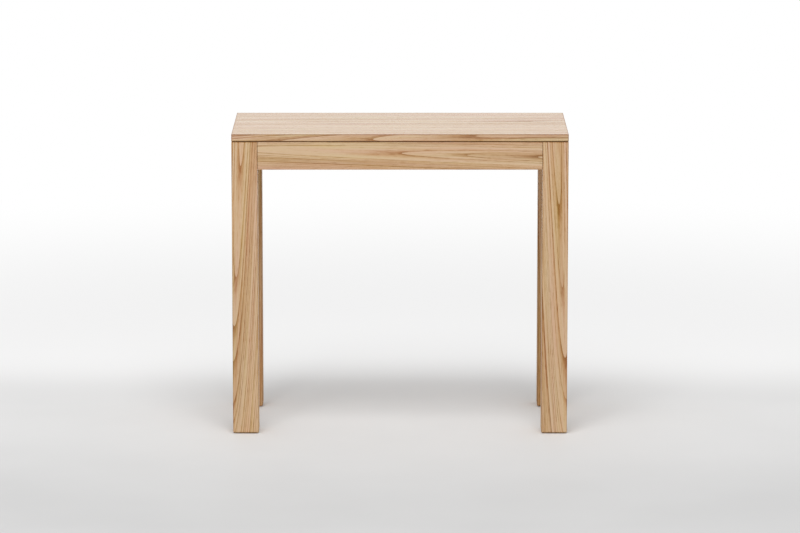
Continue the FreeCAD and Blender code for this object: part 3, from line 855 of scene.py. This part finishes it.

# %% [markdown]
# ## Floor
#
# The table stands on a plain pale floor that fades to white, like the paper sweep of a studio. It is a grey
# a little below white around the table, so that the shadows of the legs show, and turns white behind it and
# far away. From the front to the rear legs the grey is painted paler, painted light that lifts the table's
# own shadow under it. The lamp gets weaker there, so the floor also glows for the camera: about half behind
# the table, where the sliding frame still needs its shadow, and fully in the distance. That glow also lifts
# the table's shadow behind it.

# %% Floor finish
PAINTED_LIGHT_FLOOR_GREY = (0.61, 0.81)      # a step in front of the table, and paler at its rear legs as painted light against the table's shadow
FLOOR_WHITE = 0.93
FLOOR_CLOUDS = (3.0, 3.0, 3.0)  # per metre
FLOOR_SEED = 91.0
FLOOR_SWING = 0.06             # by how much the clouds change the grey
STEP_AHEAD = -1.2              # metres from the middle of the table to the darker grey
BEHIND = (0.18, 0.90)          # the floor turns white between these distances behind the middle of the table
HALF_GLOW = 0.46               # share of plain white there, which also lifts the table's shadow
FAR = (1.3, 3.8)               # full glow is reached between these distances all round the table


def seen_directly(tree):
    """Mask of the rays that show a surface: from the camera, from mirrors and through glass."""
    rays = add(tree, "LightPath").outputs
    sharp = calc(tree, "MAXIMUM", rays["Is Camera Ray"], rays["Is Glossy Ray"])
    return calc(tree, "MAXIMUM", sharp, rays["Is Transmission Ray"])


def floor_finish():
    """A cloudy grey, painted paler towards the rear legs, that turns to white, and glows where it does."""
    material, tree, shader = new_material("pale_floor")
    place = add(tree, "TexCoord").outputs["Object"]
    back = axes(tree, place)["Y"]
    far = fade(tree, vector_calc(tree, "LENGTH", place), *FAR)
    behind = fade(tree, back, *BEHIND)
    cloud = about_zero(tree, stretched_noise(tree, place, FLOOR_CLOUDS, FLOOR_SEED), FLOOR_SWING)
    # painted light: the grey grows paler towards the rear legs, where the table's shadow falls
    grey = calc(tree, "ADD", fade(tree, back, STEP_AHEAD, BEHIND[0], *PAINTED_LIGHT_FLOOR_GREY), cloud)
    white = calc(tree, "MAXIMUM", behind, far)
    feed(tree, shader, {"Base Color": fade(tree, white, 0.0, 1.0, grey, FLOOR_WHITE), "Roughness": 0.6,
                        "Specular IOR Level": 0.2})
    near = calc(tree, "MULTIPLY", behind, HALF_GLOW)
    glowing = calc(tree, "MULTIPLY_ADD", calc(tree, "SUBTRACT", 1.0, near), far, near)
    share = calc(tree, "MULTIPLY", glowing, seen_directly(tree))
    glow = add(tree, "Emission", {"Color": (1, 1, 1, 1), "Strength": 1.0}).outputs["Emission"]
    both = add(tree, "MixShader", {0: share, 1: shader.outputs["BSDF"], 2: glow})
    feed(tree, tree.nodes["Material Output"], {"Surface": both.outputs["Shader"]})
    return material


pale_floor = floor_finish()
print(pale_floor.name, "with", len(pale_floor.node_tree.nodes), "nodes")

# %% [markdown]
# The floor itself is one large face. It isn't part of the table.

# %% Lay the floor
FLOOR_SIZE = 60.0

half = FLOOR_SIZE / 2
corners = [(-half, -half, 0), (half, -half, 0), (half, half, 0), (-half, half, 0)]
floor_mesh = bpy.data.meshes.new("floor")
floor_mesh.from_pydata(corners, [], [(0, 1, 2, 3)])
floor_mesh.materials.append(pale_floor)
floor = show("floor", floor_mesh)
print("floor", FLOOR_SIZE, "m wide")

# %% [markdown]
# ## Light
#
# A white room lights the table evenly from all sides, and one large soft lamp in front and above gives the
# faces their direction. Camera rays and reflections see the room at full white, while the light that it
# sheds on the table is set lower, so that room and lamp together show a colour about as it is written.

# %% Room and lamp
ROOM_LIGHT = 0.55
LAMP_POWER = 165.0
LAMP_SIZE = 3.2
LAMP_PLACE = (-0.2, -2.8, 4.7)

world = bpy.data.worlds.new("white_room")
bpy.context.scene.world = world
world.use_nodes = True
room = world.node_tree
room.nodes.clear()
level = fade(room, seen_directly(room), 0.0, 1.0, ROOM_LIGHT, 1.0, "LINEAR")
sky = add(room, "Background", {"Color": (1, 1, 1, 1), "Strength": level})
add(room, "OutputWorld", {"Surface": sky.outputs["Background"]})

lamp_data = bpy.data.lights.new("soft_lamp", "AREA")
lamp_data.energy = LAMP_POWER
lamp_data.size = LAMP_SIZE
lamp = show("soft_lamp", lamp_data)
lamp.location = LAMP_PLACE
aim = (cad_box[0] + cad_box[1]) / 2 - lamp.location
lamp.rotation_euler = aim.to_track_quat("-Z", "Y").to_euler()
print("lamp", round(aim.length, 2), "m from the table")

# %% [markdown]
# ## Camera
#
# The photograph looks straight at the front from a little above the top, from far away. A long lens keeps
# the legs parallel. Distance, height, tilt and lens were fitted to the corners of the table in the picture.

# %% Camera
CAMERA_PLACE = (0.0, -10.893, 2.292)
CAMERA_TILT = math.radians(9.866)
CAMERA_LENS = 192.95           # millimetres, for the sensor width below
SENSOR_WIDTH = 36.0

camera_data = bpy.data.cameras.new("camera")
camera_data.lens = CAMERA_LENS
camera_data.sensor_width = SENSOR_WIDTH
camera = show("camera", camera_data)
camera.location = CAMERA_PLACE
camera.rotation_euler = (math.pi / 2 - CAMERA_TILT, 0.0, 0.0)
bpy.context.scene.camera = camera
bpy.context.scene.view_settings.view_transform = "Standard"
print("camera with a lens of", CAMERA_LENS, "mm")
